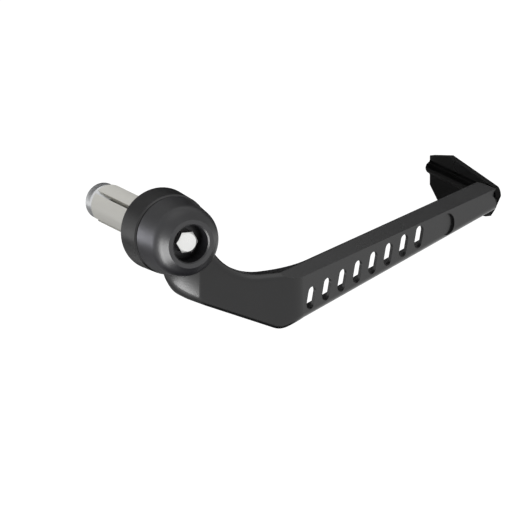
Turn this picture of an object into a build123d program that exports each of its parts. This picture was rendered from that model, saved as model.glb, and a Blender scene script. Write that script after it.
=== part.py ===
"""Brake lever guard for a right-hand lever.

Frame: millimetres, origin on the hub's axis in the plane of its inboard face,
+X outboard along that axis, +Y forward, +Z up.
"""

import os
from math import cos, radians, sin, sqrt

from build123d import *

# Hub and the arm's path in plan, along its outer face
HUB_R = 16.5
HUB_DRAFT = 0.5
HUB_EDGE_BREAK = 0.6
HUB_WIDTH = 12.7
HUB_BORE_R = 9.0
NECK_INBOARD_X = 0.3
NECK_START = (NECK_INBOARD_X, 1.7)
CREASE = (13.5, 11.9)
ARM_SPLAY = 25.0
ARM_LENGTH = 37.1
BLADE_SWEEP = 27.0
BLADE_LENGTH = 131.3
NECK_INNER_Y = 17.0
ELBOW_ROUND = 10.0
ELBOW_INNER_ROUND = 25.0

# Side outline of the arm and blade: heights at the crease and elbow, and how far each corner
# lies behind or past them along Y
NECK_ROOT = (12.0, -0.9)
THROAT_Y = 25.0
THROAT_ROUND = 17.0
HEEL_ROOT = (-3.3, -10.0)
HEEL_Y = 6.4
HEEL_ROUND = 12.0
NECK_ROUND = 4.0
CREASE_FOOT_Z = -29.0
ELBOW_BOTTOM_BEHIND = 4.5
ELBOW_BOTTOM_Z = -39.75
ELBOW_BOTTOM_ROUND = 6.0
BLADE_FOOT_PAST = 2.8
BLADE_FOOT_ROUND = 25.0
TOP_AT_ELBOW_Z = -16.2
TOP_SLOPE = 0.112
FOOT_AT_ELBOW_Z = -36.9
FOOT_SLOPE = 0.188
END_CUT_LENGTH = 6.5
END_CUT_DROP = 3.2

# Moulded channel section, open towards the lever
DEPTH = 7.0
WALL = 2.2
ROOF_DEPTH = 6.0
ROOF_RISE = 3.0
UPPER_ROUND = 2.8
LOWER_ROUND = 2.6
RIB_THICK = 1.8
RIB_STATIONS = [-14.0, 4.0, 91.0, 108.0]
HOLLOW_START = 14.0

# Plain slots through the blade, and one plain round recess
SLOT_COUNT = 8
SLOT_PITCH = 9.9
SLOT_LENGTH = 9.0
SLOT_WIDTH = 4.2
SLOT_LEAN = 14.0
SLOT_ROW_START = 10.0
SLOT_CLEAR = 0.3
RECESS_R = 4.4
RECESS_DEPTH = 1.0
RECESS_STATION = 98.0

# Shield across the front of the lever, as (X, Z) from the top of the blade's tip
SHIELD_THICK = 2.4
SHIELD_REACH = 58.1
SHIELD_LIP = 2.0
SHIELD_LIP_DROP = 2.95
SHIELD_RISE = 1.45
SHIELD_DROP = 20.35
SHIELD_OUTLINE = [
    (-SHIELD_REACH, -1.85), (-41.4, SHIELD_RISE), (SHIELD_LIP, -SHIELD_LIP_DROP),
    (SHIELD_LIP, -6.05), (-3.5, -12.85), (-7.1, -16.05), (-45.4, -SHIELD_DROP), (-51.4, -18.45),
    (-SHIELD_REACH, -13.75),
]
SHIELD_CORNER_ROUND = 1.6
SHIELD_LIP_ROUND = 3.4
BEAD_R = 2.5
BEAD_PROUD = 1.9
BEAD_BLEND = 1.2
BEAD_DROP = 6.75
BEAD_INSET = 5.0

# Bar-end cap
CAP_GAP = 0.6
CAP_SEAT_R = 14.4
CAP_BASE_R = 15.6
CAP_SHOULDER = (27.1, 13.9)
CAP_SHOULDER_ROUND = 7.0
CAP_NOSE = (30.4, 9.7)
CAP_CLEAR = 0.8
RECESS_BORE_R = 7.5
RECESS_RIM = 0.5
RECESS_FLOOR_X = 21.0
SPIGOT_CLEAR = 0.1

# Bolt, washer, expanding sleeve and wedge nut
BOLT_R = 2.95
BOLT_HOLE_R = 3.3
HEAD_FLATS = 8.0
HEAD_HEIGHT = 5.0
WASHER_R = 6.2
WASHER_THICK = 1.2
SLEEVE_R = 7.9
SLEEVE_BORE_R = 3.6
SLEEVE_LENGTH = 46.0
SLIT_WIDTH = 1.5
SLIT_START = 12.0
SLIT_COUNT = 4
CONE_DEPTH = 10.0
CONE_TAPER = 0.3
NUT_NOSE_R = 4.4
NUT_CONE_LENGTH = 9.6
NUT_TAIL = 4.0
NUT_BORE_R = 3.0
NUT_CLEAR = 0.05
BOLT_TAIL = 3.0
EDGE_BREAK = 0.4

# Longer than the guard, for cuts that pass right through
OVERSIZE = 200.0


def along(start: tuple, angle: float, length: float) -> tuple:
    """Point at a distance from start, angle measured from +Y towards +X in plan."""
    return (start[0] + length * sin(radians(angle)), start[1] + length * cos(radians(angle)))


def inward(points: list, distance: float) -> list:
    """Plan path moved towards the lever, mitred at its corners."""
    normals = []
    for (x0, y0), (x1, y1) in zip(points, points[1:]):
        run = sqrt((x1 - x0) ** 2 + (y1 - y0) ** 2)
        normals.append(((y0 - y1) / run, (x1 - x0) / run))
    moved = []
    for index, (x, y) in enumerate(points):
        ax, ay = normals[max(index - 1, 0)]
        bx, by = normals[min(index, len(normals) - 1)]
        share = distance / (1 + ax * bx + ay * by)
        moved.append((x + share * (ax + bx), y + share * (ay + by)))
    return moved


def hub_plane(x: float) -> Plane:
    """Plane square to the hub's axis, facing outboard."""
    return Plane((x, 0, 0), x_dir=(0, 1, 0), z_dir=(1, 0, 0))


ELBOW = along(CREASE, ARM_SPLAY, ARM_LENGTH)
TIP = along(ELBOW, -BLADE_SWEEP, BLADE_LENGTH)
HOLLOW_PATH = [
    along(CREASE, ARM_SPLAY, HOLLOW_START), ELBOW, along(ELBOW, -BLADE_SWEEP, BLADE_LENGTH + DEPTH),
]
NECK_INNER = (NECK_INBOARD_X, NECK_INNER_Y)
BLADE_DIR = Vector(-sin(radians(BLADE_SWEEP)), cos(radians(BLADE_SWEEP)), 0)
BLADE_OUT = Vector(cos(radians(BLADE_SWEEP)), sin(radians(BLADE_SWEEP)), 0)
BLADE_END_Y = TIP[1] - SHIELD_THICK / 2
CAP_BASE_X = HUB_WIDTH + CAP_GAP
SPIGOT_R = HUB_BORE_R - SPIGOT_CLEAR
HEAD_SEAT_X = RECESS_FLOOR_X + WASHER_THICK
HEAD_TOP_X = HEAD_SEAT_X + HEAD_HEIGHT
CONE_MOUTH_R = SLEEVE_BORE_R + CONE_DEPTH * CONE_TAPER
NUT_LARGE_R = NUT_NOSE_R + NUT_CONE_LENGTH * CONE_TAPER
NUT_NOSE_X = CONE_DEPTH - SLEEVE_LENGTH - (NUT_NOSE_R - SLEEVE_BORE_R) / CONE_TAPER - NUT_CLEAR
NUT_TAIL_X = NUT_NOSE_X - NUT_CONE_LENGTH - NUT_TAIL
BOLT_LENGTH = HEAD_SEAT_X - NUT_TAIL_X + BOLT_TAIL


def top_z(y: float) -> float:
    """Height of the blade's straight top edge."""
    return TOP_AT_ELBOW_Z + TOP_SLOPE * (y - ELBOW[1])


def foot_z(y: float) -> float:
    """Height of the blade's straight lower edge."""
    return FOOT_AT_ELBOW_Z + FOOT_SLOPE * (y - ELBOW[1])


def neck_x(y: float) -> float:
    """Place across of the neck's outer face."""
    share = (y - NECK_START[1]) / (CREASE[1] - NECK_START[1])
    return NECK_START[0] + share * (CREASE[0] - NECK_START[0])


def blade_point(station: float) -> tuple:
    """Plan point on the blade's outer face, a distance past the elbow."""
    return along(ELBOW, -BLADE_SWEEP, station)


THROAT = (THROAT_Y, top_z(THROAT_Y))
END_CUT_START = (BLADE_END_Y - END_CUT_LENGTH, top_z(BLADE_END_Y - END_CUT_LENGTH))
ELBOW_BOTTOM = (ELBOW[1] - ELBOW_BOTTOM_BEHIND, ELBOW_BOTTOM_Z)
ARM_FALL = (ELBOW_BOTTOM_Z - CREASE_FOOT_Z) / (ELBOW_BOTTOM[0] - CREASE[1])
HEEL = (HEEL_Y, CREASE_FOOT_Z + ARM_FALL * (HEEL_Y - CREASE[1]))
NECK_FOOT = ((HEEL[0] + CREASE[1]) / 2, (HEEL[1] + CREASE_FOOT_Z) / 2)
BLADE_FOOT = (ELBOW[1] + BLADE_FOOT_PAST, foot_z(ELBOW[1] + BLADE_FOOT_PAST))
OUTLINE_ROUNDS = [
    (THROAT, THROAT_ROUND), (HEEL, HEEL_ROUND),
    (ELBOW_BOTTOM, ELBOW_BOTTOM_ROUND), (BLADE_FOOT, BLADE_FOOT_ROUND),
]


def station_plane(station: float) -> Plane:
    """Upright plane across the arm or blade, at a distance past the elbow along the outer face."""
    angle = ARM_SPLAY if station < 0 else -BLADE_SWEEP
    x, y = along(ELBOW, angle, station)
    return Plane((x, y, 0), x_dir=(sin(radians(angle)), cos(radians(angle)), 0))


def roof_plane(inset: float) -> Plane:
    """Plane of the blade's sloping roof, moved into the material by inset."""
    x, y = blade_point(BLADE_LENGTH / 2)
    ridge = Vector(x, y, top_z(y) - ROOF_RISE)
    crown = Vector(x, y, 0) - BLADE_OUT * ROOF_DEPTH
    crown.Z = top_z(crown.Y)
    lengthwise = BLADE_DIR + Vector(0, 0, TOP_SLOPE * BLADE_DIR.Y)
    normal = (ridge - crown).cross(lengthwise).normalized()
    return Plane(ridge - normal * inset, x_dir=lengthwise, z_dir=normal)


def facet_middle_z(y: float) -> float:
    """Middle height of the blade's flat outer face."""
    return (top_z(y) - ROOF_RISE + foot_z(y)) / 2


def channel(outer: list, inner: list, inset: float) -> Part:
    """Arm and blade between two plan paths, with roof, lower edge and outline set in by inset."""
    x, y = blade_point(BLADE_LENGTH / 2)
    with BuildPart() as body:
        with BuildSketch() as plan:
            with BuildLine():
                Polyline(*outer, *reversed(inner), close=True)
            make_face()
            fillet(plan.vertices().sort_by_distance(Vector(*outer[-2]))[0], ELBOW_ROUND - inset)
            fillet(plan.vertices().sort_by_distance(Vector(*inner[-2]))[0], ELBOW_INNER_ROUND)
        extrude(amount=OVERSIZE, both=True)
        with BuildSketch(Plane.YZ) as side:
            with BuildLine():
                Polyline(
                    NECK_ROOT, THROAT, END_CUT_START, (BLADE_END_Y, top_z(BLADE_END_Y) - END_CUT_DROP),
                    (BLADE_END_Y, foot_z(BLADE_END_Y)), BLADE_FOOT, ELBOW_BOTTOM, HEEL, HEEL_ROOT,
                    close=True,
                )
            make_face()
            for corner, radius in OUTLINE_ROUNDS:
                fillet(side.vertices().sort_by_distance(Vector(*corner))[0], radius)
            if inset:
                offset(amount=-inset, mode=Mode.REPLACE)
        extrude(amount=OVERSIZE, both=True, mode=Mode.INTERSECT)
        if not inset:
            fillet(body.edges().sort_by_distance(Vector(x, y, top_z(y)))[0], UPPER_ROUND)
        with Locations(roof_plane(inset)):
            Box(
                2 * OVERSIZE, OVERSIZE, OVERSIZE, mode=Mode.SUBTRACT,
                align=(Align.CENTER, Align.CENTER, Align.MIN),
            )
        if not inset:
            neck_foot = Vector(neck_x(NECK_FOOT[0]), *NECK_FOOT)
            fillet(body.edges().sort_by_distance(neck_foot)[0], NECK_ROUND)
            fillet(body.edges().sort_by_distance(Vector(x, y, foot_z(y)))[0], LOWER_ROUND)
    return body.part


with BuildPart() as cavity:
    add(channel(inward(HOLLOW_PATH, WALL), inward(HOLLOW_PATH, DEPTH + 1), WALL))
    for station in RIB_STATIONS:
        with Locations(station_plane(station)):
            Box(RIB_THICK, OVERSIZE, OVERSIZE, mode=Mode.SUBTRACT)

with BuildPart() as guard_arm:
    add(channel([NECK_START, CREASE, *HOLLOW_PATH[1:]], [NECK_INNER, *inward(HOLLOW_PATH, DEPTH)], 0))
    add(cavity.part, mode=Mode.SUBTRACT)
    # Hub that the cap's spigot fits into
    with BuildSketch(Plane.XY) as hub:
        with BuildLine():
            Polyline((0, 0), (0, HUB_R), (HUB_WIDTH, HUB_R - HUB_DRAFT), (HUB_WIDTH, 0), close=True)
        make_face()
        chamfer(hub.vertices().filter_by(lambda corner: corner.Y > 0), HUB_EDGE_BREAK)
    revolve(axis=Axis.X)
    # Shield across the front, flat outside, with its stiffening bead towards the lever
    tip_top = top_z(TIP[1])
    with BuildSketch(Plane((TIP[0], TIP[1], tip_top), x_dir=(1, 0, 0), z_dir=(0, -1, 0))) as shield:
        with BuildLine():
            Polyline(*SHIELD_OUTLINE, close=True)
        make_face()
        corners = shield.vertices().sort_by_distance(Vector(SHIELD_LIP, -SHIELD_LIP_DROP))
        fillet(corners[0], SHIELD_LIP_ROUND)
        fillet(corners[1:], SHIELD_CORNER_ROUND)
    extrude(amount=SHIELD_THICK)
    bead_y = TIP[1] - SHIELD_THICK - BEAD_PROUD + BEAD_R
    bead_start = Vector(TIP[0] - SHIELD_REACH, bead_y, tip_top - BEAD_DROP)
    with Locations(Plane(bead_start, x_dir=(0, 1, 0), z_dir=(1, 0, 0))):
        Cylinder(BEAD_R, SHIELD_REACH - BEAD_INSET, align=(Align.CENTER, Align.CENTER, Align.MIN))
    with Locations((0, TIP[1], 0)):
        Box(
            OVERSIZE, OVERSIZE, OVERSIZE, mode=Mode.SUBTRACT,
            align=(Align.CENTER, Align.MIN, Align.CENTER),
        )
    bead_roots = [bead_start + Vector(SHIELD_REACH / 2, 0, side * BEAD_R) for side in (-1, 1)]
    fillet([guard_arm.edges().sort_by_distance(point)[0] for point in bead_roots], BEAD_BLEND)
    # Room for the cap, then the bore
    with Locations(hub_plane(HUB_WIDTH)):
        Cylinder(
            CAP_BASE_R + CAP_CLEAR, OVERSIZE, mode=Mode.SUBTRACT,
            align=(Align.CENTER, Align.CENTER, Align.MIN),
        )
        Cylinder(HUB_BORE_R, OVERSIZE, mode=Mode.SUBTRACT)
    # Slots drawn along the hub's axis, the way the mould opens
    with BuildSketch(Plane.YZ):
        for index in range(SLOT_COUNT):
            x, y = blade_point(SLOT_ROW_START + index * SLOT_PITCH)
            with Locations((y, foot_z(y) + WALL + SLOT_CLEAR + SLOT_LENGTH / 2)):
                SlotOverall(SLOT_LENGTH, SLOT_WIDTH, rotation=90 - SLOT_LEAN)
    extrude(amount=OVERSIZE, both=True, mode=Mode.SUBTRACT)
    x, y = blade_point(RECESS_STATION)
    with Locations(Plane((x, y, facet_middle_z(y)), x_dir=BLADE_DIR, z_dir=BLADE_OUT)):
        Cylinder(RECESS_R, 2 * RECESS_DEPTH, mode=Mode.SUBTRACT)
guard_arm.part.label = "guard_arm"

with BuildPart() as bar_end_cap:
    with BuildSketch() as cap:
        with BuildLine():
            Polyline(
                (0, BOLT_HOLE_R), (0, SPIGOT_R), (HUB_WIDTH, SPIGOT_R), (HUB_WIDTH, CAP_SEAT_R),
                (CAP_BASE_X, CAP_SEAT_R), (CAP_BASE_X, CAP_BASE_R - EDGE_BREAK),
                (CAP_BASE_X + EDGE_BREAK, CAP_BASE_R), CAP_SHOULDER, CAP_NOSE,
                (CAP_NOSE[0], RECESS_BORE_R + RECESS_RIM), (CAP_NOSE[0] - RECESS_RIM, RECESS_BORE_R),
                (RECESS_FLOOR_X, RECESS_BORE_R), (RECESS_FLOOR_X, BOLT_HOLE_R), close=True,
            )
        make_face()
        fillet(cap.vertices().sort_by_distance(Vector(*CAP_SHOULDER))[0], CAP_SHOULDER_ROUND)
    revolve(axis=Axis.X)
bar_end_cap.part.label = "bar_end_cap"

with BuildPart() as bolt_washer:
    with Locations(hub_plane(RECESS_FLOOR_X)):
        Cylinder(WASHER_R, WASHER_THICK, align=(Align.CENTER, Align.CENTER, Align.MIN))
        Cylinder(BOLT_HOLE_R, 2 * WASHER_THICK, mode=Mode.SUBTRACT)
bolt_washer.part.label = "bolt_washer"

with BuildPart() as clamp_bolt:
    with BuildSketch(Plane.YZ.offset(HEAD_SEAT_X)):
        RegularPolygon(HEAD_FLATS / 2, 6, major_radius=False)
    extrude(amount=HEAD_HEIGHT)
    # Corners of the head rounded off by a cone, as on a turned blank
    with BuildSketch(Plane.XY):
        with BuildLine():
            Polyline(
                (HEAD_SEAT_X, 0), (HEAD_SEAT_X, HEAD_FLATS), (HEAD_TOP_X - HEAD_FLATS / 4, HEAD_FLATS),
                (HEAD_TOP_X, HEAD_FLATS / 2 - EDGE_BREAK), (HEAD_TOP_X, 0), close=True,
            )
        make_face()
    revolve(axis=Axis.X, mode=Mode.INTERSECT)
    with Locations(Plane((HEAD_SEAT_X, 0, 0), x_dir=(0, 1, 0), z_dir=(-1, 0, 0))):
        Cylinder(BOLT_R, BOLT_LENGTH, align=(Align.CENTER, Align.CENTER, Align.MIN))
    chamfer(clamp_bolt.edges().sort_by(Axis.X)[0], 2 * EDGE_BREAK)
clamp_bolt.part.label = "clamp_bolt"

with BuildPart() as expander_sleeve:
    with BuildSketch() as sleeve:
        with BuildLine():
            Polyline(
                (0, SLEEVE_BORE_R), (0, SLEEVE_R),
                (EDGE_BREAK - SLEEVE_LENGTH, SLEEVE_R), (-SLEEVE_LENGTH, SLEEVE_R - EDGE_BREAK),
                (-SLEEVE_LENGTH, CONE_MOUTH_R), (CONE_DEPTH - SLEEVE_LENGTH, SLEEVE_BORE_R), close=True,
            )
        make_face()
    revolve(axis=Axis.X)
    for turn in range(SLIT_COUNT // 2):
        with Locations(Location((-SLIT_START, 0, 0), ((turn + 0.5) * 360 / SLIT_COUNT, 0, 0))):
            Box(
                SLEEVE_LENGTH, SLIT_WIDTH, OVERSIZE, mode=Mode.SUBTRACT,
                align=(Align.MAX, Align.CENTER, Align.CENTER),
            )
expander_sleeve.part.label = "expander_sleeve"

with BuildPart() as wedge_nut:
    with BuildSketch() as nut:
        with BuildLine():
            Polyline(
                (NUT_NOSE_X, NUT_BORE_R), (NUT_NOSE_X, NUT_NOSE_R),
                (NUT_NOSE_X - NUT_CONE_LENGTH, NUT_LARGE_R), (NUT_TAIL_X, NUT_LARGE_R),
                (NUT_TAIL_X, NUT_BORE_R), close=True,
            )
        make_face()
    revolve(axis=Axis.X)
wedge_nut.part.label = "wedge_nut"

os.makedirs("parts", exist_ok=True)
export_step(guard_arm.part, "parts/guard_arm.step")
export_step(bar_end_cap.part, "parts/bar_end_cap.step")
export_step(clamp_bolt.part, "parts/clamp_bolt.step")
export_step(bolt_washer.part, "parts/bolt_washer.step")
export_step(expander_sleeve.part, "parts/expander_sleeve.step")
export_step(wedge_nut.part, "parts/wedge_nut.step")
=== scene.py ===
"""Brake lever guard: finishes of its moulded and turned pieces, the bolt's thread, studio and camera."""

from __future__ import annotations

import logging
import math
from collections.abc import Iterable
from dataclasses import dataclass
from enum import Enum
from typing import Any

import bmesh
import bpy
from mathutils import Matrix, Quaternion, Vector

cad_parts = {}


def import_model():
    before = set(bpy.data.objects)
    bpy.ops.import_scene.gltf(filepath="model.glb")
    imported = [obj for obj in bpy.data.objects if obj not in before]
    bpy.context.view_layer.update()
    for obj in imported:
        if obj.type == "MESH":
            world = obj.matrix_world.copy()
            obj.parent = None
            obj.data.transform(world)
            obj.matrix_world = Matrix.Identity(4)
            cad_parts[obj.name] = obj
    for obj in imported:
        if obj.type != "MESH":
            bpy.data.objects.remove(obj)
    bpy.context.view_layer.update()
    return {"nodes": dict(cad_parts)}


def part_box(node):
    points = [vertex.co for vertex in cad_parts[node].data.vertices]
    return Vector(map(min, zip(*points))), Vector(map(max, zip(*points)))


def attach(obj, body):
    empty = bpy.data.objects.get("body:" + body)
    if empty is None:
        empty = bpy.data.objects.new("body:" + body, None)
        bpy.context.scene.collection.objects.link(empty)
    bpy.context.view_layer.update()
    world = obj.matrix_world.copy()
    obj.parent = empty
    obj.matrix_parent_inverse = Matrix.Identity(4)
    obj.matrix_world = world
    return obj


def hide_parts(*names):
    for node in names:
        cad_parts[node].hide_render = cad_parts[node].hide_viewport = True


Colour = tuple[float, float, float]

LOG = logging.getLogger("brake_lever_guard")
MM = 0.001
QUARTER_TURN = math.radians(90.0)
UP = Vector((0.0, 0.0, 1.0))
WHITE: Colour = (1.0, 1.0, 1.0)

# A Mix node has several sockets called A, B and Result, so those for colours go by number.
MIX_FIRST_COLOUR = 6
MIX_SECOND_COLOUR = 7
MIX_COLOUR_RESULT = 2

# Range that most of a noise's values fall in.
NOISE_LOW = 0.3
NOISE_HIGH = 0.7


class Node(str, Enum):
    """Solids of the guard, as the frame names them."""

    GUARD_ARM = "guard_arm"
    BAR_END_CAP = "bar_end_cap"
    CLAMP_BOLT = "clamp_bolt"
    BOLT_WASHER = "bolt_washer"
    EXPANDER_SLEEVE = "expander_sleeve"
    WEDGE_NUT = "wedge_nut"


class Pattern(Enum):
    """Direction in which a turning tool's marks follow each other."""

    OUTWARDS = "outwards"
    ALONG = "along"


def point(x: float, y: float, z: float) -> Vector:
    """A place in the frame, given in millimetres."""
    return Vector((x, y, z)) * MM


def opaque(colour: Colour) -> tuple[float, float, float, float]:
    """A colour with full cover, as a colour socket takes it."""
    return (*colour, 1.0)


def direction(azimuth: float, elevation: float) -> Vector:
    """Unit vector towards a place in the studio.

    Args:
        azimuth: Degrees, 0 towards the object's rear at -Y and 90 towards its outboard side at +X.
        elevation: Degrees above the horizon.

    Returns:
        The vector.
    """
    turn = math.radians(azimuth)
    lift = math.radians(elevation)
    return Vector((math.sin(turn) * math.cos(lift), -math.cos(turn) * math.cos(lift), math.sin(lift)))


class NodeGraph:
    """A node tree, with short calls to add and join nodes."""

    def __init__(self, tree: bpy.types.NodeTree) -> None:
        """Take the tree.

        Args:
            tree: Node tree of a material, of the world or of a modifier.
        """
        self.tree = tree

    def link(self, source: bpy.types.NodeSocket, target: bpy.types.NodeSocket) -> None:
        """Join a node's output to another node's input."""
        self.tree.links.new(source, target)

    def add(self, kind: str, inputs: dict[str | int, Any] | None = None, **settings: Any) -> bpy.types.Node:
        """Add a node and fill in its inputs.

        Args:
            kind: Blender's name of the node type.
            inputs: Value, or output socket to link, for each input.
            **settings: Properties of the node itself.

        Returns:
            The new node.
        """
        node = self.tree.nodes.new(kind)
        for name, value in settings.items():
            setattr(node, name, value)
        for key, value in (inputs or {}).items():
            if isinstance(value, bpy.types.NodeSocket):
                self.link(value, node.inputs[key])
            else:
                node.inputs[key].default_value = value
        return node

    def maths(self, operation: str, first: Any, second: Any = 0.0) -> bpy.types.NodeSocket:
        """Result of a Math node on two numbers or sockets."""
        node = self.add("ShaderNodeMath", {0: first, 1: second}, operation=operation)
        return node.outputs[0]


class Shader(NodeGraph):
    """Node tree of a material or of the world."""

    def __init__(self, tree: bpy.types.NodeTree) -> None:
        """Take the tree and empty it.

        Args:
            tree: Node tree of a material or of the world.
        """
        super().__init__(tree)
        tree.nodes.clear()

    def place(self) -> bpy.types.NodeSocket:
        """The piece's own coordinates."""
        return self.add("ShaderNodeTexCoord").outputs["Object"]

    def noise(self, size: float, layers: float = 2.0) -> bpy.types.NodeSocket:
        """Noise over the piece's own coordinates.

        Args:
            size: Rough size of one patch, in metres.
            layers: Number of finer layers.

        Returns:
            The noise's value.
        """
        inputs = {"Vector": self.place(), "Scale": 1.0 / size, "Detail": layers}
        return self.add("ShaderNodeTexNoise", inputs).outputs[0]

    def spread(self, noise: bpy.types.NodeSocket, middle: float, reach: float) -> bpy.types.NodeSocket:
        """Map a noise to a range of numbers.

        Args:
            noise: Value around 0.5.
            middle: Middle of the range.
            reach: How far the range goes to each side of it.

        Returns:
            The mapped value.
        """
        ends = {"To Min": middle - reach, "To Max": middle + reach}
        inputs = {"Value": noise, "From Min": NOISE_LOW, "From Max": NOISE_HIGH, **ends}
        return self.add("ShaderNodeMapRange", inputs).outputs["Result"]

    def mix(self, share: bpy.types.NodeSocket, first: Colour, second: Colour) -> bpy.types.NodeSocket:
        """Mix two colours.

        Args:
            share: Share of the second colour.
            first: Colour where the share is 0.
            second: Colour where the share is 1.

        Returns:
            The mixed colour.
        """
        inputs = {"Factor": share, MIX_FIRST_COLOUR: opaque(first), MIX_SECOND_COLOUR: opaque(second)}
        return self.add("ShaderNodeMix", inputs, data_type="RGBA").outputs[MIX_COLOUR_RESULT]

    def relief(self, height: bpy.types.NodeSocket, depth: float) -> bpy.types.NodeSocket:
        """Normal of a surface with fine marks.

        Args:
            height: Height of the marks, as a share of their depth.
            depth: Depth of the marks, in metres.

        Returns:
            The normal.
        """
        return self.add("ShaderNodeBump", {"Height": height, "Distance": depth}).outputs["Normal"]

    def seen(self) -> bpy.types.NodeSocket:
        """One for camera, glossy and transmission rays, and zero for the rest."""
        path = self.add("ShaderNodeLightPath").outputs
        mirrored = self.maths("MAXIMUM", path["Is Glossy Ray"], path["Is Transmission Ray"])
        return self.maths("MAXIMUM", path["Is Camera Ray"], mirrored)

    def end(self, surface: bpy.types.NodeSocket, output: str = "ShaderNodeOutputMaterial") -> None:
        """Send a surface to the tree's output.

        Args:
            surface: Shader of the surface.
            output: Blender's name of the output node.
        """
        self.add(output, {"Surface": surface})


def new_material(name: str) -> tuple[bpy.types.Material, Shader]:
    """Start a node material.

    Args:
        name: Name of the material.

    Returns:
        The material, and its emptied node tree.
    """
    material = bpy.data.materials.new(name)
    material.use_nodes = True
    return material, Shader(material.node_tree)


@dataclass(frozen=True)
class MouldedPlastic:
    """Plastic from a mould with a fine spark-eroded grain, and faint marks of its flow."""

    name: str
    colour: Colour
    roughness: float
    specular: float = 0.5
    roughness_spread: float = 0.05
    grain_size: float = 0.35 * MM
    grain_height: float = 0.006 * MM
    grain_layers: float = 3.0
    flow_size: float = 18 * MM
    flow_tint: float = 1.25

    def material(self) -> bpy.types.Material:
        """Build the finish as a node material."""
        material, shader = new_material(self.name)
        flow = shader.noise(self.flow_size)
        grain = shader.noise(self.grain_size, self.grain_layers)
        tint = tuple(min(1.0, self.flow_tint * channel) for channel in self.colour)
        surface = shader.add("ShaderNodeBsdfPrincipled", {
            "Base Color": shader.mix(flow, self.colour, tint),
            "Roughness": shader.spread(flow, self.roughness, self.roughness_spread),
            "Specular IOR Level": self.specular,
            "Normal": shader.relief(grain, self.grain_height),
        })
        shader.end(surface.outputs["BSDF"])
        return material


@dataclass(frozen=True)
class TurnedMetal:
    """Bare or plated metal with the marks of the tool that turned it about the hub's axis."""

    name: str
    colour: Colour
    roughness: float
    marks: Pattern
    pitch: float = 0.25 * MM
    depth: float = 0.003 * MM
    roughness_spread: float = 0.06
    patch_size: float = 4 * MM

    def travel(self, shader: Shader) -> bpy.types.NodeSocket:
        """Distance that the tool has travelled, out from the hub's axis or along it.

        Args:
            shader: Node tree of the finish.

        Returns:
            The distance, in metres.
        """
        axes = shader.add("ShaderNodeSeparateXYZ", {"Vector": shader.place()}).outputs
        if self.marks is Pattern.ALONG:
            return axes["X"]
        across = shader.add("ShaderNodeCombineXYZ", {"Y": axes["Y"], "Z": axes["Z"]})
        length = shader.add("ShaderNodeVectorMath", {0: across.outputs[0]}, operation="LENGTH")
        return length.outputs["Value"]

    def material(self) -> bpy.types.Material:
        """Build the finish as a node material."""
        material, shader = new_material(self.name)
        turns = shader.maths("MULTIPLY", self.travel(shader), 2 * math.pi / self.pitch)
        rings = shader.maths("SINE", turns)
        patches = shader.noise(self.patch_size)
        surface = shader.add("ShaderNodeBsdfPrincipled", {
            "Base Color": opaque(self.colour),
            "Metallic": 1.0,
            "Roughness": shader.spread(patches, self.roughness, self.roughness_spread),
            "Normal": shader.relief(rings, self.depth),
        })
        shader.end(surface.outputs["BSDF"])
        return material


GUARD_PLASTIC = MouldedPlastic("guard_plastic", (0.007, 0.007, 0.0075), 0.31)
# Painted shade: the shield is moulded in one with the arm, and this darker, duller copy of the same plastic
# stands in for the shade on its plate and bead.
SHIELD_PAINTED_SHADE_PLASTIC = MouldedPlastic("shield_plastic", (0.0015, 0.0015, 0.0015), 0.3, specular=0.1)
CAP_PLASTIC = MouldedPlastic("cap_plastic", (0.004, 0.004, 0.005), 0.38)
SLEEVE_NYLON = MouldedPlastic("sleeve_nylon", (0.74, 0.73, 0.68), 0.45, flow_tint=1.05)
BOLT_ZINC = TurnedMetal("bolt_zinc", (0.78, 0.78, 0.77), 0.3, Pattern.OUTWARDS)
WASHER_STEEL = TurnedMetal("washer_black_steel", (0.05, 0.05, 0.052), 0.4, Pattern.OUTWARDS)
NUT_ALUMINIUM = TurnedMetal("nut_aluminium", (0.62, 0.63, 0.64), 0.36, Pattern.ALONG)


def dress(piece: bpy.types.Object, material: bpy.types.Material) -> None:
    """Give every material slot of a piece the same finish.

    Args:
        piece: Object with a mesh.
        material: Finish for it.
    """
    if not piece.material_slots:
        piece.data.materials.append(material)
    for slot in piece.material_slots:
        slot.material = material
    LOG.info("%s wears %s", piece.name, material.name)


class ShapeTree(NodeGraph):
    """A Geometry Nodes tree with named inputs."""

    def __init__(self, name: str) -> None:
        """Start the tree with one geometry input and output.

        Args:
            name: Name of the tree.
        """
        super().__init__(bpy.data.node_groups.new(name, "GeometryNodeTree"))
        for side in ("INPUT", "OUTPUT"):
            self.tree.interface.new_socket("Geometry", in_out=side, socket_type="NodeSocketGeometry")
        self.source = self.add("NodeGroupInput")
        self.result = self.add("NodeGroupOutput")

    def size(self, name: str) -> bpy.types.NodeSocket:
        """Add a named number to the tree's inputs and return its socket."""
        self.tree.interface.new_socket(name, in_out="INPUT", socket_type="NodeSocketFloat")
        return self.source.outputs[name]

    def end(self, geometry: bpy.types.NodeSocket) -> None:
        """Send a geometry to the tree's output."""
        self.link(geometry, self.result.inputs[0])

    def drive(self, piece: bpy.types.Object, sizes: dict[str, float]) -> None:
        """Put the tree on a piece as a modifier, with each input set by its socket's identifier.

        Args:
            piece: Object that takes the tree.
            sizes: Number for each named input.
        """
        modifier = piece.modifiers.new(self.tree.name, "NODES")
        modifier.node_group = self.tree
        for item in self.tree.interface.items_tree:
            if item.in_out == "INPUT" and item.name in sizes:
                modifier[item.identifier] = sizes[item.name]


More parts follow.
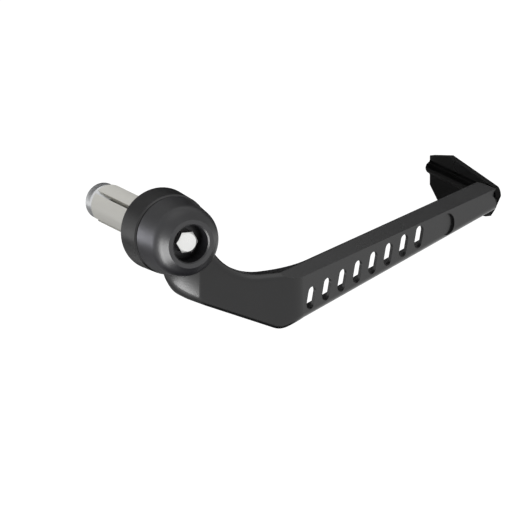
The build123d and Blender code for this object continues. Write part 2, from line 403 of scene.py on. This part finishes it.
@dataclass
class Guard:
    """The moulded arm with its shield, and the cap that holds it."""

    nodes: dict[str, bpy.types.Object]
    plate_depth: float = 2.45 * MM
    bead_depth: float = 4.4 * MM
    bead_outer_end: float = -37.0 * MM
    arm_finish: MouldedPlastic = GUARD_PLASTIC
    # Painted shade for the shield's plate and bead.
    shield_finish: MouldedPlastic = SHIELD_PAINTED_SHADE_PLASTIC
    cap_finish: MouldedPlastic = CAP_PLASTIC

    def paint_shield_shade(self, arm: bpy.types.Object) -> None:
        """Give the shield's plate and bead a darker, duller copy of the arm's plastic, by the place of their
        faces: painted shade on the one moulding.

        Args:
            arm: The moulded arm.
        """
        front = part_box(Node.GUARD_ARM.value)[1][1]
        sizes = {
            "Plate back": front - self.plate_depth,
            "Bead back": front - self.bead_depth,
            "Bead end": self.bead_outer_end,
        }
        tree = ShapeTree("shield_finish")
        plate_back, bead_back, bead_end = [tree.size(name) for name in sizes]
        centre = tree.add("GeometryNodeInputPosition").outputs[0]
        place = tree.add("ShaderNodeSeparateXYZ", {0: centre}).outputs
        on_plate = tree.maths("GREATER_THAN", place["Y"], plate_back)
        ahead = tree.maths("GREATER_THAN", place["Y"], bead_back)
        inboard = tree.maths("LESS_THAN", place["X"], bead_end)
        on_bead = tree.maths("MULTIPLY", ahead, inboard)
        # Painted shade: the darker copy of the plastic goes on the faces of the plate and the bead.
        dressed = tree.add("GeometryNodeSetMaterial", {
            "Geometry": tree.source.outputs[0],
            "Selection": tree.maths("MAXIMUM", on_plate, on_bead),
            "Material": self.shield_finish.material(),
        })
        tree.end(dressed.outputs[0])
        tree.drive(arm, sizes)

    def build(self) -> None:
        """Dress the arm and the cap, with painted shade on the shield."""
        arm = self.nodes[Node.GUARD_ARM.value]
        dress(arm, self.arm_finish.material())
        self.paint_shield_shade(arm)
        dress(self.nodes[Node.BAR_END_CAP.value], self.cap_finish.material())


@dataclass
class ThreadedBolt:
    """Clamp bolt whose last stretch has a cut thread."""

    solid: bpy.types.Object
    pitch: float = 1.0 * MM
    crest_radius: float = 2.95 * MM
    core_radius: float = 2.4 * MM
    thread_length: float = 26.0 * MM
    crest_share: float = 0.15
    root_share: float = 0.85
    steps_per_turn: int = 28
    weld_distance: float = 0.001 * MM
    finish: TurnedMetal = BOLT_ZINC

    def thread_tree(self, names: Iterable[str], material: bpy.types.Material) -> ShapeTree:
        """Thread and core along the hub's axis, from the bolt's tail.

        Args:
            names: Names of the pitch, length, core radius, crest radius and tail.
            material: Finish of the thread.

        Returns:
            The tree, with an input for each name.
        """
        tree = ShapeTree("bolt_thread")
        pitch, length, core, crest, tail = [tree.size(name) for name in names]
        run = tree.maths("SUBTRACT", length, pitch)
        spiral = tree.add("GeometryNodeCurveSpiral", {
            "Resolution": self.steps_per_turn, "Rotations": tree.maths("DIVIDE", run, pitch),
            "Start Radius": core, "End Radius": core, "Height": run,
        })
        upright = tree.add("GeometryNodeSetCurveNormal", {"Curve": spiral.outputs[0]}, mode="Z_UP")

        # The section is centred on the core's surface, so its lower half lies inside the core.
        depth = tree.maths("SUBTRACT", crest, core)
        section = tree.add("GeometryNodeCurvePrimitiveQuadrilateral", {
            "Bottom Width": tree.maths("MULTIPLY", pitch, self.root_share),
            "Top Width": tree.maths("MULTIPLY", pitch, self.crest_share),
            "Height": tree.maths("MULTIPLY", depth, 2.0), "Offset": 0.0,
        }, mode="TRAPEZOID")
        turned = tree.add("GeometryNodeTransform", {
            "Geometry": section.outputs[0], "Rotation": (0.0, 0.0, QUARTER_TURN),
        })
        ridge = tree.add("GeometryNodeCurveToMesh", {
            "Curve": upright.outputs[0], "Profile Curve": turned.outputs[0], "Fill Caps": True,
        })

        rod = tree.add("GeometryNodeMeshCylinder", {
            "Vertices": self.steps_per_turn, "Radius": core, "Depth": length,
        })
        middle = tree.add("ShaderNodeCombineXYZ", {"Z": tree.maths("MULTIPLY", run, 0.5)})
        centred = tree.add("GeometryNodeTransform", {
            "Geometry": rod.outputs["Mesh"], "Translation": middle.outputs[0],
        })
        both = tree.add("GeometryNodeJoinGeometry", {0: ridge.outputs[0]})
        tree.link(centred.outputs[0], both.inputs[0])

        start = tree.maths("ADD", tail, tree.maths("MULTIPLY", pitch, 0.5))
        place = tree.add("ShaderNodeCombineXYZ", {"X": start})
        laid = tree.add("GeometryNodeTransform", {
            "Geometry": both.outputs[0], "Translation": place.outputs[0],
            "Rotation": (0.0, QUARTER_TURN, 0.0),
        })
        whole = tree.add("GeometryNodeRealizeInstances", {0: laid.outputs[0]})
        dressed = tree.add("GeometryNodeSetMaterial", {"Geometry": whole.outputs[0], "Material": material})
        tree.end(dressed.outputs[0])
        return tree

    def thread_mesh(self, material: bpy.types.Material, tail: float) -> bpy.types.Mesh:
        """Bake the thread.

        Args:
            material: Finish of the thread.
            tail: Place of the bolt's free end along the hub's axis.

        Returns:
            The thread as a plain mesh.
        """
        sizes = {
            "Pitch": self.pitch,
            "Length": self.thread_length,
            "Core radius": self.core_radius,
            "Crest radius": self.crest_radius,
            "Tail": tail,
        }
        holder = bpy.data.objects.new("bolt_thread", bpy.data.meshes.new("bolt_thread"))
        bpy.context.scene.collection.objects.link(holder)
        self.thread_tree(sizes, material).drive(holder, sizes)
        graph = bpy.context.evaluated_depsgraph_get()
        mesh = bpy.data.meshes.new_from_object(holder.evaluated_get(graph))
        bpy.data.objects.remove(holder)
        return mesh

    def build(self) -> None:
        """Make the bolt: head and plain shank of the solid, then the thread."""
        material = self.finish.material()
        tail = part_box(Node.CLAMP_BOLT.value)[0][0]
        shape = bmesh.new()
        shape.from_mesh(self.solid.data)
        bmesh.ops.remove_doubles(shape, verts=shape.verts, dist=self.weld_distance)
        cut = (tail + self.thread_length, 0.0, 0.0)
        bmesh.ops.bisect_plane(
            shape, geom=shape.verts[:] + shape.edges[:] + shape.faces[:], plane_co=cut,
            plane_no=(1.0, 0.0, 0.0), clear_inner=True,
        )
        bmesh.ops.holes_fill(shape, edges=[edge for edge in shape.edges if edge.is_boundary])
        shape.from_mesh(self.thread_mesh(material, tail))
        mesh = bpy.data.meshes.new("threaded_bolt")
        shape.to_mesh(mesh)
        shape.free()
        bolt = bpy.data.objects.new("threaded_bolt", mesh)
        bpy.context.scene.collection.objects.link(bolt)
        dress(bolt, material)
        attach(bolt, "root")
        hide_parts(Node.CLAMP_BOLT.value)


@dataclass
class Fixing:
    """Bolt, washer, expanding sleeve and wedge nut."""

    nodes: dict[str, bpy.types.Object]
    washer_finish: TurnedMetal = WASHER_STEEL
    sleeve_finish: MouldedPlastic = SLEEVE_NYLON
    nut_finish: TurnedMetal = NUT_ALUMINIUM

    def build(self) -> None:
        """Make the bolt and dress the other three pieces."""
        ThreadedBolt(self.nodes[Node.CLAMP_BOLT.value]).build()
        dress(self.nodes[Node.BOLT_WASHER.value], self.washer_finish.material())
        dress(self.nodes[Node.EXPANDER_SLEEVE.value], self.sleeve_finish.material())
        dress(self.nodes[Node.WEDGE_NUT.value], self.nut_finish.material())


def panel(name: str, centre: Vector, facing: Vector, width: float, height: float) -> bpy.types.Object:
    """Flat rectangle of the studio.

    Args:
        name: Name of the object.
        centre: Its middle.
        facing: Its normal.
        width: Size across.
        height: Size the other way.

    Returns:
        The object, with its place in its mesh.
    """
    turn = facing.to_track_quat("Z", "Y")
    corners = [(-0.5, -0.5), (0.5, -0.5), (0.5, 0.5), (-0.5, 0.5)]
    points = [centre + turn @ Vector((across * width, along * height, 0.0)) for across, along in corners]
    mesh = bpy.data.meshes.new(name)
    mesh.from_pydata(points, [], [(0, 1, 2, 3)])
    plate = bpy.data.objects.new(name, mesh)
    bpy.context.scene.collection.objects.link(plate)
    return plate


@dataclass(frozen=True)
class Stand:
    """A rectangle of the studio that faces a point, with angles in degrees and lengths in metres."""

    name: str
    faces: Vector
    azimuth: float
    elevation: float
    distance: float
    width: float
    height: float

    def towards(self) -> Vector:
        """Unit vector from the point that it faces to its middle."""
        return direction(self.azimuth, self.elevation)

    def centre(self) -> Vector:
        """Its middle."""
        return self.faces + self.towards() * self.distance


@dataclass(frozen=True)
class Softbox(Stand):
    """A soft lamp, which may light one piece alone. A brightness of 1 is as bright as the white room."""

    brightness: float
    tint: Colour = WHITE
    roll: float = 0.0
    lights: Node | None = None

    def build(self) -> None:
        """Place the lamp, and keep it to one piece if it names one."""
        lamp = bpy.data.lights.new(self.name, "AREA")
        lamp.shape = "RECTANGLE"
        lamp.size = self.width
        lamp.size_y = self.height
        lamp.color = self.tint
        lamp.energy = math.pi * self.width * self.height * self.brightness
        holder = bpy.data.objects.new(self.name, lamp)
        holder.location = self.centre()
        turn = self.towards().to_track_quat("Z", "Y") @ Quaternion(UP, math.radians(self.roll))
        holder.rotation_euler = turn.to_euler()
        holder.visible_camera = False
        if self.lights:
            lit = bpy.data.collections.new(f"{self.name}_lights")
            lit.objects.link(bpy.data.objects[self.lights.value])
            holder.light_linking.receiver_collection = lit
        bpy.context.scene.collection.objects.link(holder)


@dataclass(frozen=True)
class Card(Stand):
    """A dark card that only reflections see, so that edges and rear faces read against the white room."""

    shade: float = 0.01

    def build(self) -> None:
        """Place the card."""
        card = panel(self.name, self.centre(), -self.towards(), self.width, self.height)
        card.visible_camera = False
        card.visible_diffuse = False
        card.visible_shadow = False
        card.visible_transmission = False
        material, shader = new_material(self.name)
        matt = shader.add("ShaderNodeBsdfDiffuse", {"Color": opaque((self.shade, self.shade, self.shade))})
        shader.end(matt.outputs[0])
        dress(card, material)


VIEW_CENTRE = point(18.56, 33.42, -10.58)
INBOARD = point(-150.0, 100.0, -10.0)
SHIELD = point(-20.0, 160.0, -10.0)
HEEL = point(8.6, 8.15, -24.2)

CARDS = (
    Card(
        "card_behind", VIEW_CENTRE, azimuth=244.6, elevation=20.0,
        distance=0.6, width=1.7, height=0.6, shade=0.24,
    ),
    Card("card_below", INBOARD, azimuth=0.0, elevation=-90.0, distance=0.49, width=0.7, height=0.7),
    Card(
        "card_low_left", VIEW_CENTRE, azimuth=-65.0, elevation=-36.0,
        distance=0.45, width=0.55, height=0.36, shade=0.5,
    ),
    Card(
        "card_shield_low", SHIELD, azimuth=-80.0, elevation=-22.0,
        distance=0.18, width=0.24, height=0.1, shade=0.19,
    ),
    Card("card_shield_high", SHIELD, azimuth=-66.0, elevation=12.0, distance=0.18, width=0.14, height=0.115),
)

LAMPS = (
    Softbox(
        "lamp_low_left", VIEW_CENTRE, azimuth=30.0, elevation=-25.0,
        distance=0.5, width=0.21, height=0.54, brightness=13.5, lights=Node.BAR_END_CAP,
    ),
    Softbox(
        "lamp_heel", HEEL, azimuth=10.8, elevation=-13.1, roll=-41.6,
        distance=0.013, width=0.0115, height=0.0022, brightness=24.0, lights=Node.GUARD_ARM,
    ),
    Softbox(
        "lamp_rear_left", VIEW_CENTRE, azimuth=-41.0, elevation=-3.0, tint=(0.9, 0.9, 1.0),
        distance=0.8, width=0.14, height=0.3, brightness=10.3, lights=Node.BAR_END_CAP,
    ),
    Softbox(
        "lamp_right", VIEW_CENTRE, azimuth=142.0, elevation=-12.0,
        distance=0.9, width=1.6, height=0.35, brightness=1.3, lights=Node.BAR_END_CAP,
    ),
    Softbox(
        "lamp_top", VIEW_CENTRE, azimuth=40.0, elevation=75.0,
        distance=1.2, width=1.0, height=1.0, brightness=0.6,
    ),
)


@dataclass
class Studio:
    """White room, pale floor, dark cards, soft lamps and the camera."""

    cards: tuple[Card, ...] = CARDS
    lamps: tuple[Softbox, ...] = LAMPS
    view_azimuth: float = 64.84
    view_elevation: float = 13.25
    view_distance: float = 7.8
    view_reach: float = 100.0
    lens: float = 1404.0
    sensor: float = 36.0
    floor_z: float = -0.6
    floor_size: float = 40.0
    floor_colour: Colour = (0.8, 0.8, 0.8)
    floor_lift: float = 0.6
    room_light: float = 0.6

    def build_room(self) -> None:
        """White room that lights the object at a plain level."""
        world = bpy.data.worlds.new("studio_room")
        world.use_nodes = True
        shader = Shader(world.node_tree)
        strength = shader.add("ShaderNodeMapRange", {
            "Value": shader.seen(), "To Min": self.room_light, "To Max": 1.0,
        })
        light = shader.add("ShaderNodeBackground", {
            "Color": opaque(WHITE), "Strength": strength.outputs["Result"],
        })
        shader.end(light.outputs[0], "ShaderNodeOutputWorld")
        bpy.context.scene.world = world

    def build_floor(self) -> None:
        """Pale floor that the camera sees as white, with the object's shadow, and clear from below."""
        centre = UP * self.floor_z
        floor = panel("studio_floor", centre, UP, self.floor_size, self.floor_size)
        material, shader = new_material("studio_floor")
        matt = shader.add("ShaderNodeBsdfDiffuse", {"Color": opaque(self.floor_colour)})
        lift = shader.maths("MULTIPLY", shader.seen(), self.floor_lift)
        glow = shader.add("ShaderNodeEmission", {"Strength": lift})
        both = shader.add("ShaderNodeAddShader", {0: matt.outputs[0], 1: glow.outputs[0]})
        under = shader.add("ShaderNodeNewGeometry").outputs["Backfacing"]
        clear = shader.add("ShaderNodeBsdfTransparent")
        sided = shader.add("ShaderNodeMixShader", {0: under, 1: both.outputs[0], 2: clear.outputs[0]})
        shader.end(sided.outputs[0])
        dress(floor, material)

    def build_camera(self) -> None:
        """Long lens at the photograph's viewing angle."""
        lens = bpy.data.cameras.new("camera")
        lens.lens = self.lens
        lens.sensor_width = self.sensor
        lens.clip_end = self.view_reach
        camera = bpy.data.objects.new("camera", lens)
        towards = direction(self.view_azimuth, self.view_elevation)
        camera.location = VIEW_CENTRE + towards * self.view_distance
        camera.rotation_euler = towards.to_track_quat("Z", "Y").to_euler()
        bpy.context.scene.collection.objects.link(camera)
        bpy.context.scene.camera = camera

    def build(self) -> None:
        """Build the whole studio."""
        bpy.context.scene.view_settings.view_transform = "Standard"
        self.build_room()
        self.build_floor()
        for stand in (*self.cards, *self.lamps):
            stand.build()
        self.build_camera()
        LOG.info("studio is set")


def main() -> None:
    """Load the frame, dress every piece and set the studio."""
    logging.basicConfig(level=logging.INFO, format="%(name)s: %(message)s")
    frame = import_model()
    Guard(frame["nodes"]).build()
    Fixing(frame["nodes"]).build()
    Studio().build()


if __name__ == "__main__":
    main()
